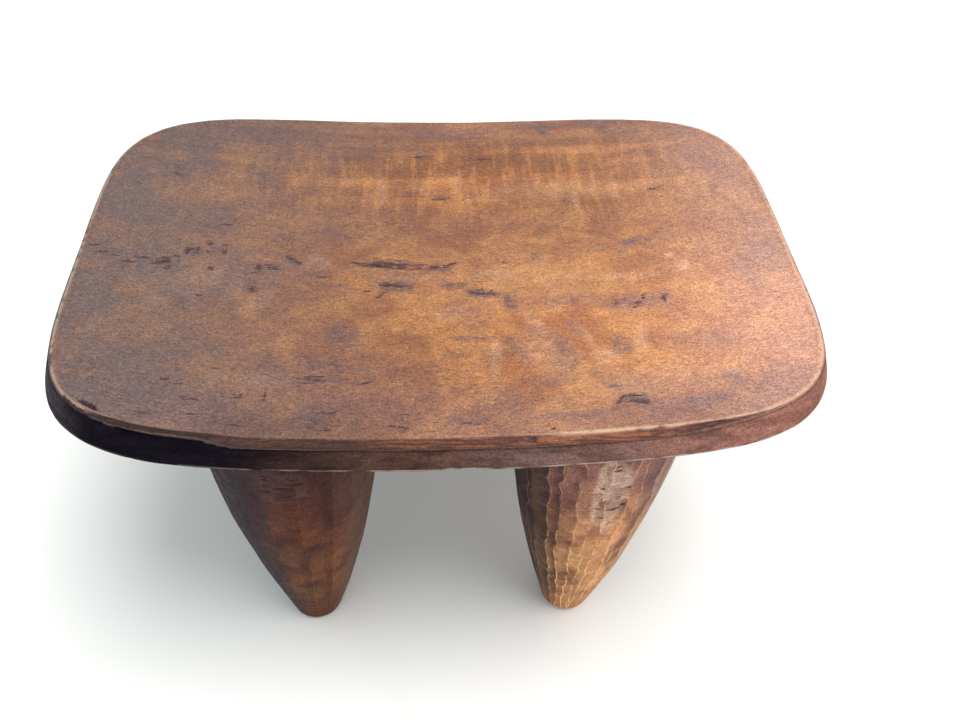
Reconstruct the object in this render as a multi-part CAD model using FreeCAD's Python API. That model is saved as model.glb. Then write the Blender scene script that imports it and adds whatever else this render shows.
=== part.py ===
# Four-legged carved wooden headrest or low stool, in the Senufo manner.
#
# The real thing is hewn from one block, so nothing on it is pegged, glued or jointed. It is
# modelled as the members a carver would name: a dished slab (the seat) and four fat tapering
# legs, each a closed solid. Every leg ends on the slab's curved underside, face to face.
#
# Millimetres. +Z is up, +X runs along the slab from left to right, and +Y points to the rear.
# The origin is on the floor, under the middle of the slab.

import FreeCAD, Part
import math
import os

# Driving dimensions of the slab
LENGTH = 406.0  # of the lower edge, left to right, before it is rounded
DEPTH = 290.0  # of the lower edge, front to rear, before it is rounded
MIDDLE_HEIGHT = 229.0  # floor to the middle of the top
DISH_RISE = 17.0  # how far the ends stand above the middle
SIDE_HEIGHT = 11.4  # lower edge to the foot of the bevel, upright
SIDE_LEAN = 4.3  # how far the side leans in over that height
BEVEL_HEIGHT = 4.0  # foot of the bevel to the rim, upright
BEVEL_LEAN = 3.4  # how far the bevel leans in over that height
FRONT_SQUARENESS = 5.9  # power of the superellipse: 2 is an ellipse, and more is squarer
REAR_SQUARENESS = 4.0
LOWER_EDGE_ROUND = 1.5

# Driving dimensions of the legs
LEG_SPREAD = 168.6  # between their axes, left to right
LEG_STAGGER = 178.0  # between their axes, front to rear
LEG_TOP_RADIUS = 49.7
FOOT_RADIUS = 15.5
FOOT_ROUND = 4.0  # between the foot's flat and the leg's side
LEG_FULLNESS = 1.65  # 1 is a straight cone, and more swells the leg

# Worked out from them
THICKNESS = SIDE_HEIGHT + BEVEL_HEIGHT
HALF_LENGTH = LENGTH / 2 - SIDE_LEAN  # of the outline at the foot of the bevel
HALF_DEPTH = DEPTH / 2 - SIDE_LEAN
BEVEL_FOOT_HEIGHT = MIDDLE_HEIGHT - BEVEL_HEIGHT
DISH_RADIUS = ((LENGTH / 2) ** 2 + DISH_RISE**2) / (2 * DISH_RISE)
UNDERSIDE_RADIUS = DISH_RADIUS + THICKNESS
DISH_AXIS_HEIGHT = MIDDLE_HEIGHT + DISH_RADIUS

# How finely curves are laid out, how far one solid runs past another that it cuts, and how
# near an edge lies to a surface that it belongs to
OUTLINE_POINTS = 72
PROFILE_POINTS = 9
MARGIN = 20.0
TOUCH = 0.05


def dish_height(x):
    """How far the slab has risen at x, above its middle."""
    return DISH_RADIUS - math.sqrt(DISH_RADIUS**2 - x**2)


def dish_cylinder(radius):
    """A lying cylinder on the dish's axis, longer than the slab is deep."""
    base = FreeCAD.Vector(0, -DEPTH, DISH_AXIS_HEIGHT)
    return Part.makeCylinder(radius, 2 * DEPTH, base, FreeCAD.Vector(0, 1, 0))


def outline_point(turn):
    """A point of the outline at the foot of the bevel, and the outward normal there."""
    cosine, sine = math.cos(turn), math.sin(turn)
    power = REAR_SQUARENESS if sine > 0 else FRONT_SQUARENESS
    reach = (abs(cosine) ** power + abs(sine) ** power) ** (-1 / power)
    x, y = reach * cosine, reach * sine
    normal = FreeCAD.Vector(
        math.copysign(abs(x) ** (power - 1), x) / HALF_LENGTH,
        math.copysign(abs(y) ** (power - 1), y) / HALF_DEPTH,
        0,
    )
    return FreeCAD.Vector(HALF_LENGTH * x, HALF_DEPTH * y, 0), normal.normalize()


def outline_curve(level):
    """The slab's outline as one closed curve, at a level height or, for None, at the bevel's
    foot. Below the foot it has moved out along the leaning side, and above it, in along the bevel.
    """
    points = []
    for i in range(OUTLINE_POINTS):
        point, normal = outline_point(2 * math.pi * i / OUTLINE_POINTS)
        foot = BEVEL_FOOT_HEIGHT + dish_height(point.x)
        height = foot if level is None else level
        slope = BEVEL_LEAN / BEVEL_HEIGHT if height > foot else SIDE_LEAN / SIDE_HEIGHT
        points.append(point + normal * (slope * (foot - height)) + FreeCAD.Vector(0, 0, height))
    curve = Part.BSplineCurve()
    even = [i / OUTLINE_POINTS for i in range(OUTLINE_POINTS + 1)]
    curve.interpolate(points, PeriodicFlag=True, Parameters=even)
    return curve.toShape()


def make_blank():
    """A block with the slab's side and bevel, running past its underside and its top."""
    low = outline_curve(BEVEL_FOOT_HEIGHT - SIDE_HEIGHT - MARGIN)
    bevel_foot = outline_curve(None)
    high = outline_curve(MIDDLE_HEIGHT + DISH_RISE + MARGIN)
    faces = [
        Part.Face(Part.Wire([low])),
        Part.makeRuledSurface(low, bevel_foot),
        Part.makeRuledSurface(bevel_foot, high),
        Part.Face(Part.Wire([high])),
    ]
    blank = Part.makeSolid(Part.makeShell(faces))
    if blank.Volume < 0:
        blank.reverse()
    return blank


def lies_on_underside(edge):
    """Whether both ends and the middle of an edge lie on the underside's cylinder."""
    first, last = edge.ParameterRange
    for parameter in (first, (first + last) / 2, last):
        point = edge.valueAt(parameter)
        if abs(math.hypot(point.x, point.z - DISH_AXIS_HEIGHT) - UNDERSIDE_RADIUS) > TOUCH:
            return False
    return True


def make_seat():
    """The slab: dished from end to end, with a leaning side and a bevel under the rim."""
    curved = make_blank().common(dish_cylinder(UNDERSIDE_RADIUS))
    slab = curved.cut(dish_cylinder(DISH_RADIUS)).Solids[0]
    lower_edge = [edge for edge in slab.Edges if lies_on_underside(edge)]
    return slab.makeFillet(LOWER_EDGE_ROUND, lower_edge)


def leg_side_points():
    """Points up a leg's side, from the top of the foot's round to the slab."""
    top = MIDDLE_HEIGHT - THICKNESS + dish_height(LEG_SPREAD / 2)
    points = []
    for i in range(PROFILE_POINTS):
        height = FOOT_ROUND + (top - FOOT_ROUND) * i / (PROFILE_POINTS - 1)
        taper = (LEG_TOP_RADIUS - FOOT_RADIUS) * (1 - height / top) ** LEG_FULLNESS
        points.append(FreeCAD.Vector(LEG_TOP_RADIUS - taper, 0, height))
    return points


def make_leg(side, end):
    """A leg. side is -1 on the left and 1 on the right, end is -1 in front and 1 behind."""
    side_points = leg_side_points()
    foot, top = side_points[0], side_points[-1]
    over_top = top + FreeCAD.Vector(0, 0, MARGIN)
    axis_bottom = FreeCAD.Vector(0, 0, 0)
    axis_top = FreeCAD.Vector(0, 0, over_top.z)
    flat_edge = FreeCAD.Vector(foot.x - FOOT_ROUND, 0, 0)
    slant = FOOT_ROUND * math.sqrt(0.5)
    round_middle = flat_edge + FreeCAD.Vector(slant, 0, FOOT_ROUND - slant)
    swell = Part.BSplineCurve()
    swell.interpolate(side_points)
    outline = [
        Part.LineSegment(axis_bottom, flat_edge),
        Part.Arc(flat_edge, round_middle, foot),
        swell,
        Part.LineSegment(top, over_top),
        Part.LineSegment(over_top, axis_top),
        Part.LineSegment(axis_top, axis_bottom),
    ]
    half_section = Part.Face(Part.Wire([edge.toShape() for edge in outline]))
    leg = half_section.revolve(axis_bottom, FreeCAD.Vector(0, 0, 1), 360)
    leg.translate(FreeCAD.Vector(side * LEG_SPREAD / 2, end * LEG_STAGGER / 2, 0))
    return leg.cut(dish_cylinder(UNDERSIDE_RADIUS)).Solids[0]


def main():
    parts = {
        "seat": make_seat(),
        "leg_front_left": make_leg(-1, -1),
        "leg_front_right": make_leg(1, -1),
        "leg_rear_left": make_leg(-1, 1),
        "leg_rear_right": make_leg(1, 1),
    }
    os.makedirs("parts", exist_ok=True)
    for name, shape in parts.items():
        print(f"{name}: valid {shape.isValid()}, {shape.Volume / 1000:.0f} cm3")
        shape.exportStep(f"parts/{name}.step")


main()
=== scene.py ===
import math

import bpy
import numpy as np
from mathutils import Matrix, Vector


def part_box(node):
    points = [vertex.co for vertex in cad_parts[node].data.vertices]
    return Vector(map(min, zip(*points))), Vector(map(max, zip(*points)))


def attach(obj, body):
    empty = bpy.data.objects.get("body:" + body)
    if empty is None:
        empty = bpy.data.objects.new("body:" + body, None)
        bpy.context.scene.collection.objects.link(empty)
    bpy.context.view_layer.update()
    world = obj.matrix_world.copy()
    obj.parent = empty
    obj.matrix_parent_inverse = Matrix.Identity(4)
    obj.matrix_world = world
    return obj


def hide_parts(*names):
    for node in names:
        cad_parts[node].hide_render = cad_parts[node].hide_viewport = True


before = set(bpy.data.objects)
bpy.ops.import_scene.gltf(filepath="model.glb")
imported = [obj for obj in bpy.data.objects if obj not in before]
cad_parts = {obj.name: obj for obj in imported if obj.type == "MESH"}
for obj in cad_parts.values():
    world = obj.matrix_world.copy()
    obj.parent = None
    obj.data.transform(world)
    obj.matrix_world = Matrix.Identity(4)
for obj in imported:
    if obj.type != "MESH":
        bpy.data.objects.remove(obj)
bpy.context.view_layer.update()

# The looks of a carved wooden headrest: each CAD member is replaced by a dense mesh with its
# adze cuts, drying cracks, chips and worn edges, and gets a procedural wood material. Metres,
# in the frame's own axes: +X along the slab, +Y to the rear, +Z up.

MM = 0.001

# -------- sizes, from the frame and from the CAD's driving dimensions

SEAT_LOW, SEAT_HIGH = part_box("seat")
THICKNESS = 15.4 * MM  # of the slab, upright
BEVEL_HEIGHT = 4.0 * MM  # foot of the bevel to the rim
BEVEL_LEAN = 3.4 * MM  # how far the bevel leans in over that height
FRONT_SQUARENESS = 5.9  # powers of the outline's superellipse
REAR_SQUARENESS = 4.0

HALF_LENGTH = SEAT_HIGH.x - 3.6 * MM  # of the outline at the foot of the bevel
HALF_DEPTH = SEAT_HIGH.y - 3.6 * MM
UNDERSIDE = SEAT_LOW.z  # these three are heights at the slab's middle
MIDDLE_TOP = UNDERSIDE + THICKNESS
BEVEL_FOOT = MIDDLE_TOP - BEVEL_HEIGHT
DISH_RISE = SEAT_HIGH.z - MIDDLE_TOP
DISH_RADIUS = ((HALF_LENGTH - BEVEL_LEAN) ** 2 + DISH_RISE**2) / (2 * DISH_RISE)

FOOT_RADIUS = 15.5 * MM
FOOT_ROUND = 5.0 * MM
LEG_FULLNESS = 1.65


def dish(x):
    """How far the slab has risen at x, above its middle."""
    return DISH_RADIUS - np.sqrt(DISH_RADIUS**2 - x**2)


# -------- noise and small helpers


def lattice(index):
    """A fixed random value from -1 to 1 for each whole-number point in an (n, 3) array."""
    mixed = index @ np.array([73856093, 19349663, 83492791])
    mixed = (mixed ^ (mixed >> 13)) * 1274126177
    return ((mixed ^ (mixed >> 16)) & 0xFFFF) / 32767.5 - 1


def noise(points, size, seed=0):
    """Smooth noise from -1 to 1 at an (n, 3) array of points. size is a feature's length in
    millimetres, one number or one for each axis."""
    place = points / (np.asarray(size) * MM) + 31.7 * seed
    low = np.floor(place).astype(np.int64)
    share = place - low
    share = share * share * (3 - 2 * share)
    total = np.zeros(len(points))
    for corner in np.ndindex(2, 2, 2):
        weight = np.where(corner, share, 1 - share).prod(axis=1)
        total += weight * lattice(low + corner)
    return total


def smooth(value, low, high):
    """0 below low, 1 above high, and a smooth step between them. low may be above high."""
    share = np.clip((value - low) / (high - low), 0, 1)
    return share * share * (3 - 2 * share)


def within(value, low, high, edge):
    """1 from low to high, fading out over edge on both sides."""
    return smooth(value, low - edge, low) * smooth(value, high + edge, high)


def mark_axes(points, x, y, turn):
    """Distances along and across a mark in metres. x and y, its middle, are shares of the slab's
    half length and half depth, and turn is in degrees."""
    angle = math.radians(turn)
    dx = points[:, 0] - x * HALF_LENGTH
    dy = points[:, 1] - y * HALF_DEPTH
    along = dx * math.cos(angle) + dy * math.sin(angle)
    across = dy * math.cos(angle) - dx * math.sin(angle)
    return along, across


def spots(points, marks):
    """The strongest of a list of soft round-topped spots at each point. A mark is its middle
    (shares), length and width (mm), turn (degrees) and strength."""
    total = np.zeros(len(points))
    for x, y, long, wide, turn, strength in marks:
        along, across = mark_axes(points, x, y, turn)
        inside = 1 - (along / (long * MM / 2)) ** 2 - (across / (wide * MM / 2)) ** 2
        total = np.maximum(total, strength * np.clip(inside, 0, 1))
    return total


def show(thing):
    """Puts an object in the scene."""
    bpy.context.scene.collection.objects.link(thing)


def closed_piece(name, points, faces, fields, node, materials):
    """Makes a smooth mesh object that stands for a CAD node. fields are per-point numbers."""
    mesh = bpy.data.meshes.new(name)
    mesh.from_pydata(points.tolist(), [], np.asarray(faces, dtype=object).tolist())
    mesh.shade_smooth()
    for field, values in fields.items():
        attribute = mesh.attributes.new(field, "FLOAT", "POINT")
        attribute.data.foreach_set("value", np.asarray(values, np.float32))
    for material in materials:
        mesh.materials.append(material)
    mesh.update()
    piece = bpy.data.objects.new(name, mesh)
    show(piece)
    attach(piece, "root")
    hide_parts(node)
    return piece


def ring_faces(first, second):
    """Quads between two closed rings of point numbers, facing out if the first is below."""
    pairs = [first, np.roll(first, -1), np.roll(second, -1), second]
    return np.stack(pairs, axis=1).tolist()


def cap_faces(ring, middle):
    """Triangles from a closed ring of point numbers to one in its middle."""
    return [[first, second, middle] for first, second in zip(ring, np.roll(ring, -1))]


# -------- marks on the slab

# Drying cracks and pits: middle (shares of the half length and half depth), length along
# the grain, width and depth in millimetres, and turn in degrees.
CRACKS = (
    # the long split beside the middle, in strands
    (-0.155, -0.04, 27, 0.9, 0.8, -2),
    (-0.13, -0.062, 34, 0.8, 0.5, -3),
    (-0.19, -0.078, 22, 1.8, 1.5, -5),
    (-0.12, -0.092, 40, 1.1, 1.6, -1),
    (-0.02, -0.092, 20, 1.2, 0.9, 4),
    (0.025, -0.07, 11, 1.6, 0.9, 18),
    (-0.13, -0.072, 58, 4.6, 0.1, -2),
    # the pit in front of it
    (-0.16, -0.19, 8, 3, 2, 0),
    (-0.13, -0.198, 22, 4.4, 0.3, -4),
    (-0.21, -0.228, 5, 2.2, 0.6, 0),
    (-0.172, -0.255, 7, 3.2, 0.6, 60),
    # the hooked split to their right
    (0.095, -0.228, 15, 0.9, 1, 3),
    (0.138, -0.248, 10, 1.2, 1.7, -50),
    (0.092, -0.2, 4, 1.2, 0.5, 20),
    (0.1, -0.25, 16, 3.4, 0.1, -4),
    # the thin red split behind the middle
    (-0.085, 0.385, 24, 1.1, 0.6, 2),
    (0, 0.368, 12, 1.8, 0.8, -3),
    # the checked band at the left end
    (-0.96, -0.055, 9, 1, 0.5, 3),
    (-0.935, -0.09, 11, 1.2, 0.8, 8),
    (-0.903, -0.103, 6, 1.2, 0.8, -20),
    (-0.83, -0.1, 14, 1.2, 0.8, 8),
    (-0.855, -0.13, 14, 1.3, 0.9, 5),
    (-0.765, -0.088, 15, 1.3, 0.9, 12),
    (-0.775, -0.115, 13, 5, 0.6, 20),
    (-0.715, -0.035, 10, 3.2, 1, 84),
    (-0.69, -0.04, 9, 2.8, 0.9, 80),
    (-0.657, 0.018, 5, 4.2, 0.8, 70),
    (-0.66, -0.035, 4, 3, 0.5, 60),
    (-0.615, 0.01, 4, 2.4, 0.6, 80),
    (-0.615, -0.03, 6, 3.4, 0.7, 80),
    (-0.645, -0.136, 5, 3.2, 0.8, 0),
    (-0.755, -0.145, 5, 4.2, 0.6, 60),
    (-0.515, -0.112, 6, 5.4, 0.9, 80),
    (-0.487, -0.095, 9, 1, 0.7, -2),
    (-0.48, -0.106, 9, 1, 0.7, 0),
    (-0.47, -0.118, 10, 1, 0.6, -2),
    (-0.525, -0.14, 7, 1.1, 0.5, 3),
    (-0.43, -0.048, 7, 2.8, 0.6, -45),
    (-0.408, -0.068, 8, 2.4, 0.6, -40),
    (-0.525, -0.237, 7, 5, 0.5, 70),
    (-0.33, -0.15, 12, 1.6, 0.3, 4),
    (-0.66, -0.29, 4, 2.6, 0.4, 0),
    # short checks scattered over the rest
    (-0.06, 0.685, 10, 1.4, 0.7, 3),
    (0.15, 0.665, 11, 1.6, 0.6, -4),
    (-0.8, 0.515, 13, 1, 0.5, -3),
    (-0.79, 0.455, 9, 1.6, 0.7, -12),
    (0.665, 0.37, 9, 1.6, 0.5, -12),
    (-0.62, 0.142, 10, 1.2, 0.4, 4),
    (0.39, 0.33, 12, 1, 0.4, 72),
    (0.18, -0.055, 5, 1.4, 0.5, 60),
    (0.61, -0.33, 9, 3.4, 0.5, 80),
    (0.555, -0.31, 8, 2.6, 0.4, 70),
    (0.53, -0.35, 9, 3, 0.5, 60),
    (0.475, -0.335, 7, 2.6, 0.4, 70),
    # the pit near the front right
    (0.465, -0.818, 15, 1.4, 1.1, 2),
    (0.43, -0.838, 5, 2.6, 0.9, 50),
    (0.475, -0.848, 14, 4, 0.6, -6),
    # dashes near the front edge
    (-0.7, -0.728, 6, 1.8, 0.6, -10),
    (-0.663, -0.745, 6, 1.4, 0.6, 8),
    (-0.635, -0.803, 13, 1, 0.6, 0),
    (-0.625, -0.815, 9, 1.3, 0.6, 2),
    (-0.518, -0.79, 7, 1.5, 0.7, 0),
    (-0.52, -0.803, 7, 1.2, 0.6, 0),
    (-0.455, -0.783, 3, 3.4, 0.8, 0),
    (-0.455, -0.803, 4, 1.8, 0.6, 20),
    (-0.58, -0.661, 8, 1, 0.4, 3),
    (-0.33, -0.688, 17, 1.2, 0.6, 3),
    (-0.335, -0.703, 18, 1.4, 0.7, -2),
    (-0.35, -0.717, 9, 1.2, 0.5, 5),
    (-0.21, -0.72, 7, 1.3, 0.5, 6),
    (-0.295, -0.858, 13, 1.8, 0.6, 2),
    (-0.38, -0.845, 8, 1.4, 0.5, 6),
    (-0.62, -0.879, 17, 1, 0.5, -2),
    (-0.735, -0.885, 11, 2.4, 0.5, 4),
    (-0.52, -0.923, 9, 1.3, 0.6, -4),
    (-0.31, -0.935, 14, 1.2, 0.6, -3),
    (-0.13, -0.925, 14, 1.2, 0.6, -8),
    (-0.1, -0.868, 14, 0.9, 0.3, 0),
    (0.05, -0.915, 16, 1.2, 0.5, -3),
    (0.25, -0.945, 7, 1.4, 0.8, -52),
)

# Purple-brown stains, and painted shade in the adze scoops at the front right: middle (shares),
# length and width in millimetres, turn and strength.
STAINS_AND_SCOOP_SHADE = (
    (0.18, -0.3, 20, 9, -65, 0.9),
    # These five are painted shade in the adze scoops at the front right.
    (0.312, -0.59, 34, 15, -78, 0.55),
    (0.185, -0.555, 30, 11, -58, 0.5),
    (0.465, -0.57, 20, 16, -80, 0.6),
    (0.35, -0.46, 16, 9, -60, 0.6),
    (0.25, -0.48, 20, 10, -50, 0.45),
    (0.07, -0.505, 32, 7, -5, 0.6),
    (0.07, -0.59, 50, 16, 0, 0.35),
    (-0.27, -0.49, 34, 22, -60, 0.6),
    (-0.31, -0.67, 84, 36, 0, 0.55),
    (0.53, -0.335, 50, 15, 4, 0.75),
    (0.36, -0.31, 50, 14, 0, 0.5),
    (0.615, -0.33, 10, 20, 0, 0.7),
    (0.57, 0.02, 24, 10, 5, 0.9),
    (0.52, -0.035, 10, 14, 0, 0.5),
    (0.2, 0, 190, 26, 0, 0.24),
    (0.486, -0.365, 22, 18, 0, 0.35),
    (0.72, -0.58, 80, 26, 0, 0.38),
    (0.395, -0.72, 24, 20, 0, 0.35),
    (-0.15, -0.135, 44, 12, 0, 0.4),
    (0.93, -0.12, 30, 50, 0, 0.8),
    (0.88, -0.19, 40, 26, 70, 0.7),
    (0.94, 0.04, 34, 18, -60, 0.6),
    (0.73, -0.78, 22, 14, -20, 0.7),
    (0.64, -0.87, 44, 10, 5, 0.95),
    (0.47, -0.845, 26, 12, 0, 0.9),
    (0.42, -0.77, 14, 6, -20, 0.7),
    (0.33, -0.9, 60, 8, 0, 0.6),
    (0.13, -0.82, 40, 24, -10, 0.45),
    (0.04, -0.9, 30, 12, 0, 0.6),
    (0.36, 0.9, 12, 22, 10, 1),
    (0.34, 0.93, 34, 10, 0, 0.6),
    (0.56, 0.94, 44, 12, 0, 0.9),
    (0.56, 0.88, 10, 22, 20, 0.6),
    (0.82, 0.78, 20, 24, -30, 0.7),
    (0.87, 0.54, 80, 46, -60, 0.55),
    (0.06, 0.87, 90, 18, 0, 0.5),
    (0.62, 0.82, 30, 14, 0, 0.5),
    (-0.42, 0.76, 170, 50, 0, 0.42),
    (-0.38, 0.8, 44, 9, 0, 0.7),
    (-0.55, 0.8, 60, 14, 0, 0.6),
    (-0.7, 0.74, 34, 16, 0, 0.6),
    (-0.05, 0.69, 18, 8, 0, 0.6),
    (0.14, 0.665, 20, 7, 0, 0.6),
    (-0.56, 0.5, 18, 12, 0, 0.5),
    (-0.8, 0.47, 26, 16, -10, 0.5),
    (-0.1, 0.4, 20, 6, 20, 0.5),
    (0.01, 0.375, 16, 8, 0, 0.6),
    (-0.145, -0.075, 50, 11, -2, 0.8),
    (-0.01, -0.095, 20, 8, 4, 0.7),
    (-0.14, -0.2, 30, 14, 0, 0.8),
    (0.03, -0.2, 26, 7, 3, 0.6),
    (0.11, -0.25, 26, 10, -10, 0.9),
    (-0.35, -0.145, 26, 6, 4, 0.5),
    (-0.3, -0.205, 24, 7, 0, 0.5),
    (-0.43, -0.06, 18, 9, -40, 0.8),
    (-0.5, -0.115, 26, 14, 0, 0.6),
    (-0.525, -0.23, 14, 12, 60, 0.7),
    (-0.48, -0.215, 22, 8, 0, 0.5),
    (-0.59, -0.15, 34, 8, 72, 0.6),
    (-0.61, -0.25, 20, 8, 55, 0.6),
    (-0.58, -0.05, 18, 9, 75, 0.5),
    (-0.87, -0.165, 18, 6, 80, 0.8),
    (-0.825, -0.155, 20, 6, -80, 0.8),
    (-0.79, -0.17, 16, 6, 70, 0.8),
    (-0.7, -0.035, 16, 13, 0, 0.7),
    (-0.64, -0.01, 16, 14, 0, 0.6),
    (-0.72, -0.145, 18, 5, 35, 0.6),
    (-0.86, -0.08, 70, 22, 0, 0.3),
    (-0.69, 0.11, 40, 26, 0, 0.45),
    (-0.48, 0.08, 60, 18, 0, 0.3),
    (-0.95, -0.45, 40, 70, 0, 0.4),
    (-0.86, -0.72, 60, 44, -30, 0.7),
    (-0.76, -0.78, 40, 24, -20, 0.6),
    (-0.54, -0.6, 80, 12, 0, 0.35),
    (-0.52, -0.74, 110, 56, 0, 0.28),
    (-0.73, -0.885, 26, 9, 0, 0.7),
    (-0.33, -0.88, 22, 22, 60, 0.75),
    (-0.3, -0.858, 26, 8, 0, 0.7),
    (-0.56, -0.9, 50, 10, 0, 0.5),
    (-0.33, -0.705, 30, 12, 0, 0.8),
    (-0.23, -0.725, 26, 8, 8, 0.6),
    (-0.56, -0.85, 10, 14, 30, 0.5),
    (-0.18, -0.74, 110, 60, 0, 0.35),
    (-0.05, 0.17, 290, 46, 0, 0.36),
    (0.85, -0.86, 70, 36, 25, 0.55),
    (0.6, -0.89, 90, 18, 3, 0.5),
    (-0.88, -0.83, 50, 30, -40, 0.8),
)

# Worn pale places, and painted highlights between the adze scoops at the front right, listed
# like the stains.
GLEAMS = (
    (0.655, -0.085, 8, 6, 30, 1.2),
    (0.69, -0.155, 9, 12, -10, 1.1),
    # These six are painted highlights between the adze scoops at the front right.
    (0.25, -0.44, 40, 9, -62, 0.55),
    (0.275, -0.55, 22, 7, -40, 0.5),
    (0.375, -0.5, 24, 7, -65, 0.45),
    (0.52, -0.54, 34, 10, 80, 0.45),
    (0.42, -0.62, 20, 16, 0, 0.45),
    (0.13, -0.61, 36, 8, 85, 0.55),
    (0.16, -0.14, 50, 16, 0, 0.5),
    (0.5, -0.19, 60, 8, 0, 0.45),
    (-0.06, -0.15, 50, 8, 2, 0.55),
    (0.03, -0.36, 50, 20, 0, 0.35),
    (-0.36, -0.07, 22, 18, 0, 0.6),
    (-0.69, -0.2, 78, 38, 0, 0.5),
    # A painted highlight between the adze scoops at the front right.
    (0.27, -0.6, 56, 36, -60, 0.4),
    (0.56, -0.78, 80, 36, 0, 0.35),
    (0.36, 0.4, 130, 28, 0, 0.3),
    (-0.75, -0.29, 36, 12, 60, 0.6),
    (-0.5, -0.31, 30, 14, 60, 0.45),
    (-0.46, -0.72, 34, 16, 0, 0.6),
    (-0.58, -0.72, 22, 14, 50, 0.4),
    (-0.9, -0.5, 30, 10, 70, 0.5),
    (0.42, 0.36, 8, 34, 0, 0.5),
    (0.55, 0.4, 8, 30, 4, 0.5),
    (0.34, 0.38, 7, 24, -6, 0.4),
    (-0.18, 0.45, 8, 40, 3, 0.35),
    (0.06, 0.48, 7, 34, -3, 0.4),
    (0.16, -0.2, 150, 60, 0, 0.25),
    (-0.64, -0.12, 130, 40, 0, 0.2),
    (-0.51, 0.225, 1.8, 16, 3, 1.2),
    (-0.525, -0.68, 1.6, 10, -25, 0.8),
)

# Gouges in the rim, listed like the stains.
CHIPS = (
    (-0.912, -0.862, 9, 8, -40, 1),
    (-0.866, -0.885, 15, 10, -18, 1.2),
    (0.2, -0.975, 9, 4, -50, 0.5),
)

# The split in the middle of the front side, listed like them.
NICK = ((0, -1, 5, 40, 0, 1),)

# Torn fibres along the front of the bevel: middle (share of the half length), length and depth.
BEVEL_TEARS = (
    (-0.3, 62, 0.8),
    (-0.52, 40, 0.6),
    (0.14, 20, 0.5),
    (0.5, 16, 0.5),
    (0.67, 62, 1.1),
)


def cracks_at(points):
    """Depth of the cracks in metres, and a softer field from 0 to 1 that is 1 in them."""
    depth = np.zeros(len(points))
    envelope = np.zeros(len(points))
    ragged = 1 + 0.6 * noise(points, (4.0, 1.6, 9), 3)
    wander = 0.7 * MM * noise(points, (8, 40, 40), 5) + 0.4 * MM * noise(points, (3, 40, 40), 6)
    for x, y, long, wide, deep, turn in CRACKS:
        along, across = mark_axes(points, x, y, turn)
        fade = np.clip(1 - (along / (long * MM / 2)) ** 2, 0, 1) ** 0.6
        shape = np.exp(-(((across + wander) / (wide * MM * 0.5)) ** 2))
        depth = np.maximum(depth, deep * MM * fade * shape * ragged)
        envelope = np.maximum(envelope, fade * shape * min(1, 0.62 + 0.25 * deep))
    return depth, envelope


def top_relief(points):
    """Height that use and the adze have left on the top, apart from cracks, in metres."""
    x, y = points[:, 0], points[:, 1]
    height = 0.45 * noise(points, (95, 60, 60), 1) + 0.2 * noise(points, (34, 22, 20), 2)
    ripple = within(y / HALF_DEPTH, 0.25, 0.75, 0.15)
    height += 0.035 * ripple * noise(points, (7, 34, 34), 4)
    angle = math.radians(26)
    across = x * math.cos(angle) + y * math.sin(angle)
    along = y * math.cos(angle) - x * math.sin(angle)
    slanted = np.column_stack([across, along, np.zeros(len(x))])
    scoops = within(x / HALF_LENGTH, 0.1, 0.6, 0.2) * within(y / HALF_DEPTH, -0.72, -0.4, 0.15)
    height += 0.35 * scoops * noise(slanted, (11, 30, 34), 7)
    height += 0.1 * noise(points, (11, 8, 7), 9) + 0.03 * noise(points, (4, 2.5, 3), 10)
    return height * MM


def bevel_tears(points):
    """How torn the front of the bevel is, from 0 to about 1."""
    torn = np.zeros(len(points))
    for x, long, deep in BEVEL_TEARS:
        along = (points[:, 0] - x * HALF_LENGTH) / (long * MM / 2)
        torn = np.maximum(torn, deep * np.clip(1 - along**2, 0, 1))
    return torn * (points[:, 1] < 0)


# -------- the seat

# The rim's section in millimetres, out from the foot of the bevel and up from it, where it is
# bevelled, along the middle, and where it is worn round, towards both ends.
TOP_INSET = 5.2
LOWER_EDGE = ((4.1, -10.9), (4.3, -12.0), (2.6, -12.4))
RIM_BEVELLED = (
    (-TOP_INSET, 4), (-4, 4.05), (-3.2, 3.6), (-1.6, 2),
    (0.1, 0.4), (0.4, -0.5), (-0.2, -1.3), (0.6, -2.6),
    *LOWER_EDGE,
)
RIM_WORN = (
    (-TOP_INSET, 4), (-3.4, 4), (-2, 3.7), (-0.9, 2.8),
    (-0.3, 1.4), (0.1, 0), (0.4, -1.2), (1.1, -2.8),
    *LOWER_EDGE,
)
RIM_RINGS = 30
UNDERSIDE_RINGS = 20

# Where the top's grid lines start to be another step apart, and that step. Both run from -1 to
# 1 and are finer where the cracks are.
COLUMN_STEPS = ((-1.0, 0.0098), (1.0, 0))
ROW_STEPS = ((-1.0, 0.0065), (-0.64, 0.011), (-0.3, 0.005), (0.06, 0.011), (1.0, 0))


def outline(square_x, square_y):
    """The outline at the foot of the bevel and its outward normal, for points on the edge of
    a square from -1 to 1, as two (n, 2) arrays."""
    power = np.where(square_y > 0, REAR_SQUARENESS, FRONT_SQUARENESS)
    reach = (np.abs(square_x) ** power + np.abs(square_y) ** power) ** (-1 / power)
    x, y = square_x * reach, square_y * reach
    normal_x = np.sign(x) * np.abs(x) ** (power - 1) / HALF_LENGTH
    normal_y = np.sign(y) * np.abs(y) ** (power - 1) / HALF_DEPTH
    normal = np.column_stack([normal_x, normal_y])
    normal /= np.linalg.norm(normal, axis=1)[:, None]
    return np.column_stack([x * HALF_LENGTH, y * HALF_DEPTH]), normal


def grid_lines(steps):
    """Places from the first start to the last, with the given steps between."""
    runs = []
    for (start, step), (end, _) in zip(steps, steps[1:]):
        runs.append(np.linspace(start, end, round((end - start) / step), endpoint=False))
    return np.append(np.concatenate(runs), steps[-1][0])


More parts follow.
